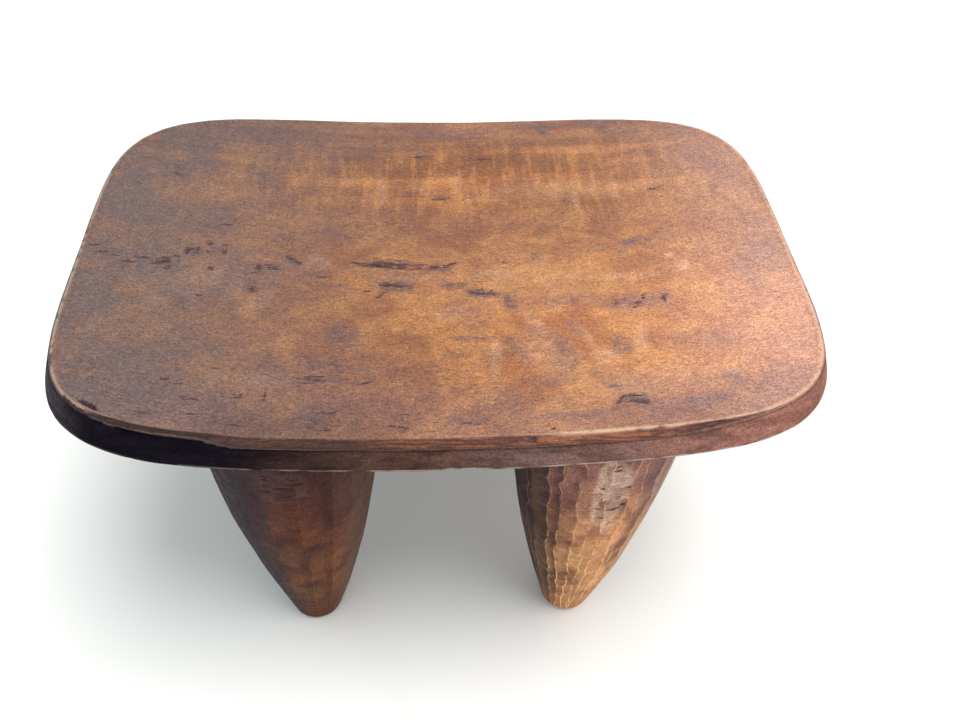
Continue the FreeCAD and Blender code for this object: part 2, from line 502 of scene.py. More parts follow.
def rounded(corners, count):
    """An open line with its corners cut off again and again, as count even points."""
    line = np.array(corners, float)
    for _ in range(3):
        quarter = line[:-1] * 0.75 + line[1:] * 0.25
        three = line[:-1] * 0.25 + line[1:] * 0.75
        inner = np.stack([quarter, three], axis=1).reshape(-1, 2)
        line = np.vstack([line[:1], inner, line[-1:]])
    lengths = np.append(0, np.cumsum(np.linalg.norm(np.diff(line, axis=0), axis=1)))
    places = np.linspace(0, lengths[-1], count)
    return np.column_stack([np.interp(places, lengths, line[:, k]) for k in (0, 1)])


def top_points(square_x, square_y):
    """The top, as a grid that eases from straight lines in the middle to the outline."""
    reach = np.maximum(np.abs(square_x), np.abs(square_y))
    safe = np.where(reach > 0, reach, 1)
    edge, normal = outline(np.where(reach > 0, square_x / safe, 1), square_y / safe)
    edge = edge - normal * TOP_INSET * MM
    size = np.array([HALF_LENGTH, HALF_DEPTH]) - TOP_INSET * MM
    straight = np.column_stack([square_x, square_y]) * size
    ease = (reach**3)[:, None]
    flat = straight * (1 - ease) + edge * reach[:, None] * ease
    return np.column_stack([flat, MIDDLE_TOP + dish(flat[:, 0])])


def rim_wear(x):
    """How far the bevel is worn away at x, from 0 to 1."""
    return smooth(x / HALF_LENGTH, 0.45, 0.9) + smooth(x / HALF_LENGTH, -0.5, -0.92)


def rim_points(foot, out):
    """The rim's rings, from the top's edge down to the underside, for each point of the
    outline at the bevel's foot and its outward normal."""
    worn = rim_wear(foot[:, 0])[:, None]
    rings = []
    for bevelled, rubbed in zip(rounded(RIM_BEVELLED, RIM_RINGS), rounded(RIM_WORN, RIM_RINGS)):
        section = (bevelled * (1 - worn) + rubbed * worn) * MM
        place = foot + out * section[:, :1]
        height = BEVEL_FOOT + dish(foot[:, 0]) + section[:, 1]
        rings.append(np.column_stack([place, height]))
    return rings[1:]


def underside_points(lower_edge):
    """Rings that shrink from the lower edge to the middle of the underside."""
    rings = []
    for share in np.linspace(1, 0, UNDERSIDE_RINGS + 1)[1:-1]:
        place = lower_edge[:, :2] * share
        rings.append(np.column_stack([place, UNDERSIDE + dish(place[:, 0])]))
    return rings


def front_left_corner(points):
    """1 at the knocked corner of the rim, and 0 away from it."""
    return within(points[:, 0] / HALF_LENGTH, -0.78, -0.62, 0.14) * (points[:, 1] < 0)


def rim_push(points, level, down, bevel, side):
    """How far the rim moves out, in millimetres. It wanders, is fibrous on the bevel and hewn
    below, has a nick and a nibbled lower edge, and leans in at its knocked corner."""
    wave = 0.7 * noise(points, (70, 70, 70), 11) + 0.25 * noise(points, (18, 18, 30), 12)
    fibres = 0.2 * noise(points, (14, 9, 1), 13) + 0.15 * noise(points, (6, 6, 0.8), 14)
    hewn = 0.3 * noise(points, (26, 26, 40), 15) + 0.1 * noise(points, (8, 8, 3), 16)
    ragged = smooth(noise(points, (9, 9, 9), 17), 0.25, 0.8) * smooth(down, 0.8, 1)
    middle = within(points[:, 0] / HALF_LENGTH, -0.15, 0.2, 0.15)
    nick = np.sqrt(spots(points, NICK)) * side
    lean = front_left_corner(points) * smooth(level, -2.5, 2) * smooth(down, 0, 0.2)
    push = wave * smooth(down, 0, 0.35) + bevel * fibres + side * hewn
    push -= ragged * (0.5 + middle)
    push -= nick * (0.7 + 0.5 * noise(points, (2, 9, 4), 18))
    return push - 2 * lean


def wear_seat(points, zones):
    """Moves the seat's points to their worn places. Returns them with the shading fields."""
    on_top, on_rim, below, down, outward = zones
    level = (points[:, 2] - BEVEL_FOOT - dish(points[:, 0])) / MM
    along = points[:, 0] / HALF_LENGTH
    wear = rim_wear(points[:, 0])
    corner = front_left_corner(points)
    bevel_foot = np.maximum(4.2 * wear * (1 - 0.4 * corner), 2.5 * corner) - 0.9
    crest_at = 0.085 + 0.045 * wear * (1 - corner) - 0.02 * corner
    crest_width = 0.03 + 0.018 * within(along, 0.28, 0.5, 0.18)
    below_crest = smooth(down, crest_at - 0.02, crest_at + 0.03)
    bevel = on_rim * below_crest * smooth(level - bevel_foot, -0.6, 0.6)
    side = on_rim * below_crest * smooth(level - bevel_foot, 0.3, -0.6)
    # A band at the foot of the bevel, where a shadow under the lip is painted.
    under_lip_shade = on_rim * np.exp(-(((level - bevel_foot + 0.5) / 1.2) ** 2))
    torn = bevel_tears(points) * smooth(level, 3.9, 2.6) * bevel

    crack_depth, crack = cracks_at(points)
    chip = spots(points, CHIPS) * (1 + 0.4 * noise(points, 2.2, 8)) * (on_top | (bevel > 0.3))
    relief = top_relief(points) * np.where(on_rim, smooth(down, 0.5, 0.0), on_top)

    push = on_rim * rim_push(points, level, down, bevel, side)
    push -= torn * (0.7 + 0.6 * noise(points, (20, 9, 1.3), 22))
    worn = points + outward * (push * MM)[:, None]
    worn[:, 2] += relief - on_top * crack_depth - smooth(chip, 0.05, 0.8) * 2.4 * MM
    worn[:, 2] += bevel * 0.5 * MM * noise(points, (40, 40, 60), 19)
    hollows = 0.5 * noise(points, (26, 17, 30), 20) + 0.3 * noise(points, (12, 8, 30), 21)
    worn[:, 2] += below * MM * hollows
    fields = {
        "crack": np.maximum(crack * on_top, 0.9 * smooth(chip, 0.1, 0.35)),
        "stain_and_scoop_shade": np.maximum(spots(points, STAINS_AND_SCOOP_SHADE) * on_top, smooth(chip, 0.1, 0.3)),
        "gleam": spots(points, GLEAMS) * on_top,
        "crest": np.exp(-(((down - crest_at) / crest_width) ** 2)) * (on_rim | on_top),
        "low_edge": np.exp(-(((down - 0.9) / 0.04) ** 2)) * on_rim,
        "bevel": bevel,
        "side": np.maximum(side, below),
        "under_lip_shade": under_lip_shade,
        "torn": torn,
    }
    return worn, fields


def make_seat(top_material, side_material):
    columns, rows = grid_lines(COLUMN_STEPS), grid_lines(ROW_STEPS)
    square_x, square_y = (axis.ravel() for axis in np.meshgrid(columns, rows))
    number = np.arange(len(square_x)).reshape(len(rows), len(columns))
    border = np.concatenate([number[0, :-1], number[:-1, -1], number[-1, :0:-1], number[:0:-1, 0]])
    foot, out = outline(square_x[border], square_y[border])

    top = top_points(square_x, square_y)
    rim = rim_points(foot, out)
    rings = rim + underside_points(rim[-1])
    points = np.vstack([top, *rings, [[0, 0, UNDERSIDE]]])
    ring_numbers = [len(top) + k * len(border) + np.arange(len(border)) for k in range(len(rings))]
    ring_numbers.insert(0, border)

    quads = [number[:-1, :-1], number[:-1, 1:], number[1:, 1:], number[1:, :-1]]
    faces = np.stack([corner.ravel() for corner in quads], axis=1).tolist()
    first_side_face = len(faces)
    for upper, lower in zip(ring_numbers, ring_numbers[1:]):
        faces += ring_faces(lower, upper)
    faces += cap_faces(ring_numbers[-1][::-1], len(points) - 1)

    # down is 0 on the top, up to 1 at the lower edge, and 2 on the underside
    down = np.zeros(len(points))
    outward = np.zeros((len(points), 3))
    outward[border, :2] = out
    for k in range(len(rim)):
        down[ring_numbers[k + 1]] = (k + 1) / len(rim)
        outward[ring_numbers[k + 1], :2] = out
    down[ring_numbers[len(rim) + 1][0] :] = 2
    on_top = np.arange(len(points)) < len(top)
    on_rim = (down > 0) & (down <= 1)
    points, fields = wear_seat(points, (on_top, on_rim, down > 1, down, outward))
    piece = closed_piece("seat_carved", points, faces, fields, "seat", [top_material, side_material])

    # the side's duller material starts under the bevel
    side = fields["side"]
    for polygon in piece.data.polygons[first_side_face:]:
        if min(side[corner] for corner in polygon.vertices) > 0.4:
            polygon.material_index = 1


# -------- the legs

STRIP_COLUMNS = 8  # mesh columns in each hewn strip of a leg
LEG_LEVELS = 205
FOOT_LEVELS = 6
INTO_SLAB = 2.5 * MM  # how far a leg's top runs into the slab

# Each leg: its node, seed, how many strips it is hewn in, how deep the cuts are in millimetres,
# and then its wood: light and dark colours, wear (which also sets the painted highlight on its
# right flank), how dark the painted shade on its left flank is, and where that shade starts.
LEGS = (
    ("leg_front_left", 11, 31, 0.35, (0.115, 0.036, 0.016), (0.055, 0.017, 0.011), 0.05, 0.95, 0.05),
    ("leg_front_right", 23, 33, 0.75, (0.5, 0.23, 0.112), (0.21, 0.082, 0.048), 0.8, 0.92, -0.3),
    ("leg_rear_left", 37, 30, 0.5, (0.23, 0.11, 0.065), (0.12, 0.055, 0.038), 0.35, 0.6, 0.1),
    ("leg_rear_right", 41, 31, 0.6, (0.38, 0.19, 0.1), (0.2, 0.09, 0.052), 0.55, 0.6, 0.1),
)

# Torn places near a leg's top: turn about its axis in degrees, with 270 in front, height in
# millimetres, half width in degrees, and half height.
LEG_TEARS = {
    "leg_front_left": (268, 192, 22, 18),
    "leg_front_right": (272, 178, 14, 54),
    "leg_rear_left": (80, 186, 11, 34),
    "leg_rear_right": (112, 192, 13, 26),
}


def strip_turns(cuts, heights, jitter, seed):
    """Turns of the mesh columns at each level, and the width of their strips, in strips."""
    turns = []
    widths = []
    for height in heights:
        where = np.zeros((cuts, 3))
        where[:, 0] = np.arange(cuts) * 50.0 * MM
        where[:, 2] = height
        sway = 0.18 * noise(where, (10, 10, 30), seed) + 0.2 * noise(where, (10, 10, 6.5), seed + 1)
        start = np.arange(cuts) + jitter + sway
        width = np.diff(np.append(start, start[0] + cuts))
        share = np.arange(STRIP_COLUMNS) / STRIP_COLUMNS
        turns.append((start[:, None] + share * width[:, None]).ravel() * 2 * np.pi / cuts)
        widths.append(np.repeat(width, STRIP_COLUMNS))
    return np.array(turns), np.array(widths)


def leg_shape(middle, top_radius, turns, heights, level_share):
    """Radius and height of a leg's smooth surface at each mesh point, in metres."""
    lift = dish(middle.x + top_radius * np.cos(turns))
    z = heights[:, None] + lift * level_share[:, None]
    taper = (1 - np.clip(z / (UNDERSIDE + lift), 0, 1)) ** LEG_FULLNESS
    radius = top_radius - (top_radius - FOOT_RADIUS) * taper
    below_round = np.clip(FOOT_ROUND - z, 0, FOOT_ROUND)
    radius -= FOOT_ROUND - np.sqrt(FOOT_ROUND**2 - below_round**2)
    return radius, z


def adze_cuts(z, cuts, random):
    """Each strip is a row of scooped cuts, one above the other, with bowed ends. Returns how
    far up its cut each point is, from 0 to 1, the millimetres to its end, and its number."""
    share = np.tile(np.arange(STRIP_COLUMNS) / STRIP_COLUMNS, cuts)
    strip = np.repeat(np.arange(cuts), STRIP_COLUMNS)
    bow = 4.0 * MM * (4 * share * (1 - share) - 0.5)
    along = np.zeros(z.shape)
    end_gap = np.zeros(z.shape)
    number = np.zeros(z.shape, np.int64)
    for s in range(cuts):
        ends = np.cumsum(random.uniform(9, 21, 22)) * MM - random.uniform(0, 20) * MM
        mine = strip == s
        bowed = z[:, mine] + bow[mine]
        index = np.clip(np.searchsorted(ends, bowed), 1, len(ends) - 1)
        lower, upper = ends[index - 1], ends[index]
        along[:, mine] = np.clip((bowed - lower) / (upper - lower), 0, 1)
        end_gap[:, mine] = np.minimum(np.abs(bowed - lower), np.abs(upper - bowed)) / MM
        number[:, mine] = index + 100 * s
    return along, end_gap, number


def cut_tone(number, along, seed):
    """How light each cut is: it varies from strip to strip, from cut to cut, and up a cut."""
    strip = number // 100
    by_cut = lattice(np.column_stack([number, np.full_like(number, seed), number]))
    by_strip = lattice(np.column_stack([strip, strip, np.full_like(strip, seed)]))
    return 0.6 * by_cut + by_strip + 0.9 * (0.5 - along)


def round_axis(middle, distance, turns, z):
    """Points at a distance from a leg's axis, as an (n, 3) array."""
    x = middle.x + distance * np.cos(turns)
    y = middle.y + distance * np.sin(turns)
    return np.column_stack([x.ravel(), y.ravel(), z.ravel()])


def leg_tear(node, turns, z):
    """How torn a leg is at each mesh point, from 0 to 1."""
    turn, height, half_width, half_height = LEG_TEARS[node]
    from_middle = (np.degrees(turns) - turn + 180) % 360 - 180
    inside = 1 - (from_middle / half_width) ** 2 - ((z / MM - height) / half_height) ** 2
    return np.clip(2 * inside, 0, 1).ravel()


def leg_faces(rings):
    """Faces over a stack of rings, with a point under the lowest and one over the highest."""
    faces = []
    for lower, upper in zip(rings, rings[1:]):
        faces += ring_faces(lower, upper)
    faces += cap_faces(rings[0][::-1], rings.size)
    return faces + cap_faces(rings[-1], rings.size + 1)


def make_leg(node, seed, cuts, cut_depth, material):
    """A leg hewn in upright strips: cuts of them round it, each cut_depth millimetres deep."""
    low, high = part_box(node)
    middle = (low + high) / 2
    top_radius = (high.x - low.x) / 2
    random = np.random.default_rng(seed)
    jitter = random.uniform(-0.24, 0.24, cuts)

    foot = FOOT_ROUND * (1 - np.cos(np.linspace(0, np.pi / 2, FOOT_LEVELS, endpoint=False)))
    level_share = np.append(np.zeros(FOOT_LEVELS), np.linspace(0, 1, LEG_LEVELS))
    heights = np.append(foot, np.linspace(FOOT_ROUND, UNDERSIDE, LEG_LEVELS))
    turns, widths = strip_turns(cuts, heights, jitter, seed)
    radius, z = leg_shape(middle, top_radius, turns, heights, level_share)
    along, end_gap, number = adze_cuts(z, cuts, random)

    # each cut is a scoop, deepest along its middle and towards its upper end
    share = np.tile(np.arange(STRIP_COLUMNS) / STRIP_COLUMNS, cuts)
    wide = widths * 2 * np.pi * radius / cuts / MM
    scoop = (1 - (2 * share - 1) ** 2) * np.clip(wide / 12, 0.3, 1.3)
    depth = cut_depth * scoop * (0.5 + 0.7 * along)

    uncut = round_axis(middle, radius, turns, z)
    height = uncut[:, 2] / MM
    tear = leg_tear(node, turns, z)
    checks = smooth(noise(uncut, (5, 5, 1.3), seed + 4), 0.3, 0.75) * (0.05 + 0.95 * tear)
    broad = 0.6 * noise(uncut, (30, 30, 45), seed + 2) + 0.15 * noise(uncut, (9, 9, 14), seed + 3)
    pull = (depth.ravel() - broad + 0.8 * checks) * smooth(height, 0.5, 9)
    pull -= smooth(height, 196, 216)
    points = round_axis(middle, radius - pull.reshape(z.shape) * MM, turns, z)

    rings = np.arange(z.size).reshape(z.shape)
    points[rings[-1], 2] += INTO_SLAB
    sole = (middle.x, middle.y, 0)
    cap = (middle.x, middle.y, UNDERSIDE + dish(middle.x) + INTO_SLAB)
    points = np.vstack([points, sole, cap])
    side_gap = np.minimum(share, 1 - share) * wide
    fields = {
        "ridge": np.append(np.minimum(side_gap, end_gap + 0.1), [9, 9]),
        "tone": np.append(cut_tone(number.ravel(), along.ravel(), seed), [0, 0]),
        "torn": np.append(tear, [0, 0]),
        "crack": np.append(checks, [0, 0]),
    }
    closed_piece(node + "_carved", points, leg_faces(rings), fields, node, [material])


# -------- materials


class Nodes:
    """Short names for the shader nodes that the wood is made of."""

    def __init__(self, name, specular):
        self.material = bpy.data.materials.new(name)
        self.material.use_nodes = True
        self.tree = self.material.node_tree
        self.shader = self.tree.nodes["Principled BSDF"]
        self.shader.inputs["Specular IOR Level"].default_value = specular
        self.place = self.add("ShaderNodeTexCoord").outputs["Object"]
        self.x, self.y, self.z = self.apart(self.place)

    def add(self, kind, **settings):
        node = self.tree.nodes.new(kind)
        for name, value in settings.items():
            setattr(node, name, value)
        return node

    def link(self, value, socket):
        """Gives a socket a link, or a plain value."""
        if isinstance(value, bpy.types.NodeSocket):
            self.tree.links.new(value, socket)
        else:
            socket.default_value = value

    def apart(self, vector):
        """The X, Y and Z of a vector."""
        node = self.add("ShaderNodeSeparateXYZ")
        self.link(vector, node.inputs[0])
        return node.outputs

    def math(self, operation, first, second):
        node = self.add("ShaderNodeMath", operation=operation)
        self.link(first, node.inputs[0])
        self.link(second, node.inputs[1])
        return node.outputs[0]

    def multiply(self, first, *others):
        for other in others:
            first = self.math("MULTIPLY", first, other)
        return first

    def plus(self, first, *others):
        for other in others:
            first = self.math("ADD", first, other)
        return first

    def step(self, value, low, high, to_low=0.0, to_high=1.0):
        """A smooth step from to_low at low to to_high at high."""
        node = self.add("ShaderNodeMapRange", interpolation_type="SMOOTHSTEP")
        for index, item in enumerate((value, low, high, to_low, to_high)):
            self.link(item, node.inputs[index])
        return node.outputs[0]

    def along(self, low, high, to_low=0.0, to_high=1.0):
        """A step along X, between shares of the slab's half length."""
        return self.step(self.x, low * HALF_LENGTH, high * HALF_LENGTH, to_low, to_high)

    def across(self, low, high, to_low=0.0, to_high=1.0):
        """A step along Y, between shares of the slab's half depth."""
        return self.step(self.y, low * HALF_DEPTH, high * HALF_DEPTH, to_low, to_high)

    def upward(self, low, high, to_low=0.0, to_high=1.0):
        """A step up Z, between shares of the height of the middle of the top."""
        return self.step(self.z, low * MIDDLE_TOP, high * MIDDLE_TOP, to_low, to_high)

    def noise(self, size, detail, twist, offset):
        """Noise about 0.5. size is a feature's length in millimetres on each axis."""
        mapping = self.add("ShaderNodeMapping")
        self.link(self.place, mapping.inputs["Vector"])
        mapping.inputs["Scale"].default_value = [1 / (s * MM) for s in size]
        mapping.inputs["Location"].default_value = (offset, offset * 0.7, offset * 0.3)
        node = self.add("ShaderNodeTexNoise")
        self.link(mapping.outputs[0], node.inputs["Vector"])
        node.inputs["Scale"].default_value = 1.0
        node.inputs["Detail"].default_value = detail
        node.inputs["Distortion"].default_value = twist
        return node.outputs["Fac"]

    def field(self, name):
        return self.add("ShaderNodeAttribute", attribute_name=name).outputs["Fac"]

    def mix(self, factor, first, second):
        node = self.add("ShaderNodeMix", data_type="RGBA")
        self.link(factor, node.inputs["Factor"])
        for value, socket in ((first, node.inputs[6]), (second, node.inputs[7])):
            self.link(value if isinstance(value, bpy.types.NodeSocket) else (*value, 1), socket)
        return node.outputs[2]

    def times(self, color, factor):
        """A colour made lighter or darker by a number."""
        node = self.add("ShaderNodeVectorMath", operation="SCALE")
        self.link(color, node.inputs[0])
        self.link(factor, node.inputs["Scale"])
        return node.outputs[0]

    def finish(self, color, roughness, height, distance):
        """Sets the colour, the roughness and a bump that is distance millimetres high."""
        node = self.add("ShaderNodeBump")
        self.link(height, node.inputs["Height"])
        node.inputs["Distance"].default_value = distance * MM
        self.link(node.outputs[0], self.shader.inputs["Normal"])
        self.link(color, self.shader.inputs["Base Color"])
        self.link(roughness, self.shader.inputs["Roughness"])
        return self.material


GOLD = (0.42, 0.18, 0.062)
RED = (0.245, 0.082, 0.034)
PLUM = (0.112, 0.062, 0.072)
TAN = (0.68, 0.45, 0.31)
# The next colour is painted shade, the near black at the left of the slab's side.
SHADE_BLACK = (0.0062, 0.0046, 0.0085)
CRACK = (0.026, 0.016, 0.024)
CRACK_EDGE = (0.085, 0.044, 0.054)


class Grain:
    """The noises that all the wood shares: wavy fibres along X, mottling, fine grit and pores."""

    def __init__(self, n):
        self.fibres = n.noise((4.2, 1.3, 1.3), 3, 1.3, 1.3)
        self.mottle = n.noise((4.5, 4.8, 4.8), 4, 0.9, 5.9)
        self.grit = n.noise((0.85, 0.95, 0.95), 2, 0, 3.7)
        self.pores = n.step(n.noise((2.6, 0.65, 0.65), 2, 0.3, 2.2), 0.57, 0.68)
        self.ragged = n.noise((6, 0.75, 0.75), 3, 0.6, 6.1)

    def on(self, n, color, strength=1):
        """The colour with the grain on it."""
        for texture, spread in ((self.fibres, 0.19), (self.mottle, 0.11), (self.grit, 0.32)):
            reach = spread * strength
            color = n.times(color, n.step(texture, 0.25, 0.75, 1 - reach, 1 + reach))
        return n.times(color, n.step(self.pores, 0, 1, 1, 1 - 0.2 * strength))

    def cracks(self, n):
        """How far into a crack each place is: 0.5 at its stained edge, and 1 in its middle."""
        loose = n.multiply(n.plus(self.ragged, -0.5), 3)
        return n.plus(n.multiply(n.field("crack"), 1.45), loose)

    def cracked(self, n, color, cracks):
        """The colour with stained, dark-cored cracks in it."""
        color = n.mix(n.step(cracks, 0.5, 0.95, 0, 0.78), color, CRACK_EDGE)
        return n.mix(n.step(cracks, 0.95, 1.4, 0, 0.92), color, CRACK)

    def height(self, n, cracks):
        height = n.plus(n.multiply(self.fibres, 0.5), n.multiply(self.mottle, 0.7))
        height = n.plus(height, n.multiply(self.grit, 0.35), n.multiply(self.pores, -0.3))
        return n.plus(height, n.step(cracks, 0.5, 1, 0, -0.9))


def top_material():
    n = Nodes("worn_wood_top", 0.3)
    grain = Grain(n)
    patches = n.noise((27, 24, 24), 4, 0.5, 3.1)
    color = n.mix(n.step(patches, 0.32, 0.68, 0.12, 0.9), RED, GOLD)
    plum = n.noise((17, 15, 15), 5, 0.6, 7.7)
    color = n.mix(n.step(plum, 0.52, 0.76, 0, 0.36), color, PLUM)
    color = rear_figure(n, color)

    ragged = n.noise((6, 2.4, 2.4), 5, 0.5, 8.2)
    # Worn pale places, and painted highlights between the adze scoops at the front right.
    gleam = n.multiply(n.field("gleam"), n.step(ragged, 0.25, 0.6, 0.5, 1))
    color = n.mix(n.multiply(gleam, 0.42), color, TAN)
    # Stains, and painted shade in the adze scoops at the front right.
    stain_and_scoop_shade = n.multiply(n.field("stain_and_scoop_shade"), n.step(ragged, 0.34, 0.6, 0.25, 1.25))
    color = n.mix(n.math("MINIMUM", stain_and_scoop_shade, 0.92), color, PLUM)
    color = painted_light_gradients(n, painted_light_ends(n, color, patches))
    color = grain.on(n, color)
    color = n.mix(dashes(n), color, (0.06, 0.034, 0.042))

    color = n.mix(n.multiply(n.field("bevel"), 0.95), color, bevel_color(n, grain))
    color = n.mix(on_side(n), color, side_color(n, grain))
    color = n.mix(n.multiply(n.field("crest"), crest_wear(n)), color, TAN)
    cracks = grain.cracks(n)
    color = grain.cracked(n, color, cracks)
    rough = n.plus(n.step(grain.mottle, 0.3, 0.7, 0.42, 0.58), n.step(cracks, 0.5, 1, 0, 0.3))
    return n.finish(color, rough, grain.height(n, cracks), 0.45)


def rear_figure(n, color):
    """The rear has broad bands along the grain, and streaks across it that the adze has left."""
    rear = n.across(0.1, 0.7)
    bands = n.noise((200, 10, 10), 1, 0.1, 9.4)
    color = n.mix(n.multiply(rear, n.step(bands, 0.44, 0.6, 0, 0.35)), color, RED)
    color = n.times(color, n.step(n.multiply(rear, n.plus(bands, -0.5)), -0.15, 0.15, 1.12, 0.84))
    streaks = n.noise((5.5, 40, 30), 3, 0.5, 4.4)
    front_edge = n.across(0.05, 0.35)
    rear_edge = n.across(0.9, 0.62)
    left_edge = n.along(-0.85, -0.35, 0.35, 1)
    streaked = n.multiply(front_edge, rear_edge, left_edge)
    color = n.mix(n.multiply(streaked, n.step(streaks, 0.5, 0.66, 0, 0.45)), color, GOLD)
    change = n.multiply(streaked, n.step(streaks, 0.34, 0.62, -0.13, 0.07))
    return n.times(color, n.plus(1, change))


def painted_light_ends(n, color, patches):
    """Painted shade and a painted grey sheen grey the left end in patches, painted light pales the
    right end, and the front and rear edges are dulled.
    """
    # Painted shade and a painted grey sheen at the left end.
    left = n.along(0.05, -0.98)
    left = n.multiply(left, n.step(patches, 0.34, 0.66, 0.86, 0.62))
    color = n.mix(left, color, (0.168, 0.124, 0.126))
    # Painted light at the right end.
    right = n.along(0.4, 1.05, 0, 0.55)
    color = n.mix(right, color, (0.555, 0.312, 0.248))
    rear = n.across(0.62, 1)
    front = n.across(-0.62, -1)
    return n.mix(n.multiply(n.plus(rear, front), 0.35), color, (0.21, 0.13, 0.132))


def painted_light_gradients(n, color):
    """Painted light: the right is lighter than the left, most of all in front of its middle. The
    rear is darker, more so at the right, and the front edge is dull left of the middle."""
    # Painted light: lighter from the left end to the right.
    color = n.times(color, n.along(-0.9, 0.8, 0.74, 1.26))
    color = n.times(color, n.across(0.45, 1, 1, 0.86))
    right = n.along(-0.15, 0.55)
    rear = n.across(-0.25, 0.25)
    color = n.times(color, n.step(n.multiply(right, rear), 0, 1, 1, 0.84))
    before_edge = n.across(-0.95, -0.6)
    front = n.multiply(n.across(-0.1, -0.42), before_edge)
    color = n.times(color, n.step(n.multiply(right, front), 0, 1, 1, 1.13))
    rim = n.across(-0.74, -0.96)
    from_corner = n.along(-0.7, -0.5)
    to_middle = n.along(0.05, -0.25)
    return n.times(color, n.step(n.multiply(rim, from_corner, to_middle), 0, 1, 1, 0.72))


def dashes(n):
    """Short dark fibres, thickest along the front and at the left."""
    fibre = n.step(n.noise((5.5, 0.9, 0.9), 3, 0.4, 15.7), 0.6, 0.7)
    patch = n.step(n.noise((24, 14, 14), 2, 0.3, 16.9), 0.44, 0.62, 0.05, 1)
    front = n.across(-0.35, -0.9, 0.4, 1)
    left = n.along(0.6, -0.3, 0.3, 1)
    return n.multiply(fibre, patch, front, left, 0.62)


def bevel_color(n, grain):
    """Brown and fibrous and torn in places. Painted shade darkens it towards the left and makes it
    near black at the left end, and painted light makes it paler at the right.
    """
    strands = n.noise((18, 14, 0.9), 4, 0.3, 8.8)
    color = n.mix(n.step(strands, 0.38, 0.62), (0.066, 0.018, 0.012), (0.205, 0.07, 0.033))
    # Painted shade and light: darker towards the left corner, lighter towards the right.
    lighter = n.along(-0.42, 0.6, 0, 0.95)
    corner = n.along(-0.72, -0.42, 0.16, 0.54)
    color = n.times(color, n.plus(corner, lighter))
    right = n.along(0.55, 0.9, 0, 0.8)
    color = n.mix(right, color, (0.33, 0.15, 0.115))
    # Painted shade: near black at the left end.
    left_end = n.along(-0.8, -0.95)
    color = n.mix(left_end, color, (0.045, 0.036, 0.038))
    torn = n.plus(n.field("torn"), n.multiply(n.plus(strands, -0.5), 3.4))
    color = n.mix(n.step(torn, 0.35, 0.9, 0, 0.85), color, (0.034, 0.014, 0.016))
    # Painted shadow along the foot of the bevel, under the lip.
    color = n.times(color, n.step(n.field("under_lip_shade"), 0.05, 0.6, 1, 0.5))
    return grain.on(n, color)


def crest_wear(n):
    """How pale the worn crest of the rim is: most right of the middle and at the left end."""
    broken = n.noise((13, 9, 6), 4, 0.3, 11.3)
    right = n.along(0.15, 0.4)
    left = n.along(-0.72, -0.9, 0, 0.6)
    pale = n.plus(left, right)
    whole = n.plus(broken, n.multiply(pale, 0.08))
    return n.multiply(n.step(whole, 0.42, 0.58), n.step(pale, 0, 1, 0.06, 0.8))


def on_side(n):
    return n.step(n.field("side"), 0.25, 0.6)


def side_color(n, grain):
    """Painted shade and light: black at the left and brown to pinkish at the right, with a painted
    grey reflection at the left end and a pale worn lower edge.
    """
    # Painted shade: black at the left, turning brown towards the middle.
    brown = n.along(-0.6, 0.02)
    color = n.mix(brown, SHADE_BLACK, (0.075, 0.038, 0.03))
    greyer = n.along(-0.1, 0.28)
    color = n.mix(greyer, color, (0.138, 0.08, 0.069))
    # Painted light: pinkish towards the right.
    pinker = n.along(0.2, 0.92)
    color = n.mix(pinker, color, (0.285, 0.126, 0.1))
    # Painted reflection: a dull grey at the left end.
    left_end = n.along(-0.85, -1)
    color = n.mix(left_end, color, (0.052, 0.044, 0.053))
    blotches = n.noise((22, 22, 6), 4, 0.5, 17.5)
    color = n.times(color, n.step(blotches, 0.34, 0.66, 0.74, 1.26))
    rust = n.step(n.noise((26, 26, 9), 3, 0.5, 18.7), 0.48, 0.66, 0, 0.22)
    color = n.mix(n.multiply(rust, brown), color, (0.24, 0.096, 0.05))
    color = grain.on(n, color, 0.85)
    # Painted shadow under the lip, at the top of the side.
    color = n.times(color, n.step(n.field("under_lip_shade"), 0.5, 1, 1, 0.6))
    broken = n.step(n.noise((16, 16, 6), 4, 0.3, 11.3), 0.36, 0.56)
    low = n.step(n.field("low_edge"), 0.4, 0.9)
    amount = n.along(-0.9, 0.5, 0.15, 0.8)
    return n.mix(n.multiply(low, broken, amount), color, (0.5, 0.42, 0.34))


def side_material():
    n = Nodes("worn_wood_side", 0.02)
    grain = Grain(n)
    color = n.mix(on_side(n), bevel_color(n, grain), side_color(n, grain))
    return n.finish(color, 0.75, grain.height(n, 0), 0.5)


def leg_tones(n, low, light, dark, wear):
    """Patches of two tones, golden low down, with painted shade under the slab, and pale where it is
    torn.
    """
    patches = n.noise((22, 22, 30), 4, 0.6, 3.1)
    color = n.mix(n.step(patches, 0.38, 0.62), dark, light)
    color = n.times(color, n.plus(1, n.multiply(n.field("tone"), 0.24)))
    worn = n.noise((14, 14, 20), 3, 0.5, 14.1)
    golden = n.multiply(low, n.step(worn, 0.38, 0.6), 0.05 + 0.48 * wear)
    color = n.mix(golden, color, (0.56, 0.3, 0.11))
    foot = n.upward(0.24, 0.06, 0, 0.8)
    color = n.mix(foot, color, (0.8 * light[0], 0.68 * light[1], 0.72 * light[2]))
    # Painted shade: darker and bluer high up, under the slab.
    high = n.upward(0.55, 0.85, 0, 0.75)
    color = n.mix(high, color, (0.72 * dark[0], 0.86 * dark[1], 1.5 * dark[2]))
    torn = n.plus(n.field("torn"), n.multiply(n.field("tone"), 0.35), worn)
    torn = n.multiply(n.step(torn, 0.5, 1.8), n.step(n.field("torn"), 0, 0.8))
    return n.mix(n.multiply(torn, 0.85 * wear), color, (0.56, 0.39, 0.3))


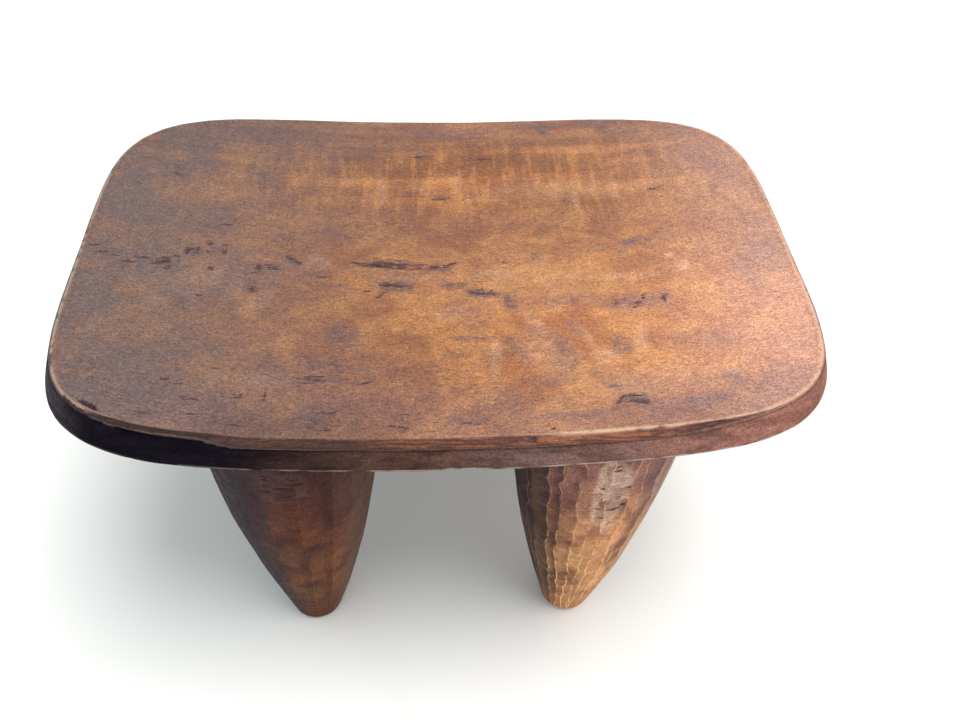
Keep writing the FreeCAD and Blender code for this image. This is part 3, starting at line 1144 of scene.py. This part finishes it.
def leg_flanks(n, color, facing_x, shaded_flank, wear, flank_shade):
    """Painted light and shade on the leg's colour: lightest in the middle, a pinkish painted
    highlight on the right and painted shade on the left.
    """
    # Painted light: faces between the flanks are made lighter and the others darker, and
    # right-facing faces turn pale pink.
    lit_flank = n.step(facing_x, 0.45, 0.85)
    middle = n.multiply(n.step(facing_x, -0.7, -0.25), n.step(lit_flank, 1, 0))
    color = n.times(color, n.step(middle, 0, 1, 0.85, 1.18))
    color = n.mix(n.multiply(lit_flank, 0.1 + 0.65 * wear), color, (0.51, 0.34, 0.26))
    # Painted shade: left-facing faces turn near black, more so higher up.
    flank_shade_strength = n.upward(0.02, 0.22, 0.5 * flank_shade, flank_shade)
    return n.mix(n.multiply(shaded_flank, flank_shade_strength), color, (0.026, 0.018, 0.026))


def ridge_lines(n, grain, low, shaded_flank, wear):
    """How pale the worn ridges between the cuts are."""
    broken = n.noise((8, 8, 11), 4, 0.3, 12.9)
    line = n.step(n.plus(n.field("ridge"), n.multiply(grain.mottle, 0.7)), 0.92, 0.48)
    # The pale lines fade on the left flank, under its painted shade.
    line = n.multiply(line, n.step(broken, 0.36, 0.56), n.step(shaded_flank, 0, 1, 1, 0.25))
    return n.multiply(line, n.step(low, 0, 1, 0.45, 1.1), wear)


def leg_material(name, light, dark, wear, flank_shade, flank_shade_from):
    """Adze-cut wood. wear is how pale its ridges are and how strong the painted highlight on its
    right flank is. The last two arguments set how dark the painted shade on its left flank is,
    and from where: where the surface's outward direction has that much of +X in it."""
    n = Nodes(name, 0.03)
    grain = Grain(n)
    facing = n.add("ShaderNodeNewGeometry").outputs["Normal"]
    facing_x = n.apart(facing)[0]
    # The left-facing flank, which gets painted shade.
    shaded_flank = n.step(facing_x, flank_shade_from, flank_shade_from - 0.65)
    low = n.upward(0.7, 0.25)
    color = leg_tones(n, low, light, dark, wear)
    color = grain.on(n, leg_flanks(n, color, facing_x, shaded_flank, wear, flank_shade))
    color = n.mix(ridge_lines(n, grain, low, shaded_flank, wear), color, (0.8, 0.52, 0.24))
    cracks = grain.cracks(n)
    color = grain.cracked(n, color, cracks)
    rough = n.step(grain.mottle, 0.3, 0.7, 0.38, 0.55)
    return n.finish(color, rough, grain.height(n, cracks), 0.4)


# -------- the scene


def make_floor():
    mesh = bpy.data.meshes.new("floor")
    half = 6.0
    corners = [(-half, -half, 0), (half, -half, 0), (half, half, 0), (-half, half, 0)]
    mesh.from_pydata(corners, [], [(0, 1, 2, 3)])
    floor = bpy.data.objects.new("floor", mesh)
    show(floor)
    material = bpy.data.materials.new("pale_floor")
    material.use_nodes = True
    shader = material.node_tree.nodes["Principled BSDF"]
    shader.inputs["Base Color"].default_value = (0.82, 0.825, 0.82, 1)
    shader.inputs["Roughness"].default_value = 0.8
    shader.inputs["Specular IOR Level"].default_value = 0.2
    mesh.materials.append(material)


def make_world():
    """A studio that is brighter and warmer on the right than on the left."""
    world = bpy.data.worlds.new("studio")
    world.use_nodes = True
    tree = world.node_tree
    direction = tree.nodes.new("ShaderNodeTexCoord")
    apart = tree.nodes.new("ShaderNodeSeparateXYZ")
    share = tree.nodes.new("ShaderNodeMapRange")
    share.inputs["From Min"].default_value = -1
    blend = tree.nodes.new("ShaderNodeMix")
    blend.data_type = "RGBA"
    blend.inputs[6].default_value = (0.735, 0.815, 0.825, 1)
    blend.inputs[7].default_value = (0.88, 0.88, 0.875, 1)
    tree.links.new(direction.outputs["Generated"], apart.inputs[0])
    tree.links.new(apart.outputs["X"], share.inputs["Value"])
    tree.links.new(share.outputs[0], blend.inputs["Factor"])
    tree.links.new(blend.outputs[2], tree.nodes["Background"].inputs["Color"])
    bpy.context.scene.world = world


def make_sun(name, direction, angle, power, color):
    """A far light that shines from a direction and is angle degrees across."""
    data = bpy.data.lights.new(name, "SUN")
    data.angle = math.radians(angle)
    data.energy = power
    data.color = color
    light = bpy.data.objects.new(name, data)
    light.location = Vector(direction).normalized() * 3
    light.rotation_euler = Vector(direction).to_track_quat("Z", "Y").to_euler()
    show(light)


def make_camera():
    """The photograph's viewpoint: above the front, looking down at 46 degrees."""
    pitch, yaw, roll = 0.80613, -0.09836, 0.05416  # radians
    level = Vector((math.cos(yaw), math.sin(yaw), 0))
    ahead = Vector((-math.sin(yaw), math.cos(yaw), 0))
    forward = math.cos(pitch) * ahead - Vector((0, 0, math.sin(pitch)))
    upright = level.cross(forward)
    right = math.cos(roll) * level + math.sin(roll) * upright
    up = math.cos(roll) * upright - math.sin(roll) * level
    data = bpy.data.cameras.new("camera")
    data.sensor_width = 36
    data.lens = 36
    camera = bpy.data.objects.new("camera", data)
    turn = Matrix((right, up, -forward)).transposed().to_4x4()
    from_slab = Vector((-0.08242, -2.16075, 1.83003)) * HALF_LENGTH
    place = from_slab + Vector((0, 0, BEVEL_FOOT))
    camera.matrix_world = Matrix.Translation(place) @ turn
    show(camera)
    bpy.context.scene.camera = camera


make_seat(top_material(), side_material())
for node, seed, cuts, cut_depth, *wood in LEGS:
    make_leg(node, seed, cuts, cut_depth, leg_material("adze_cut_wood" + node[3:], *wood))
make_floor()
make_world()
make_sun("key", (0.2, -0.12, 0.9), 34, 2.3, (1.0, 0.96, 0.92))
make_camera()
bpy.context.scene.view_settings.view_transform = "Standard"
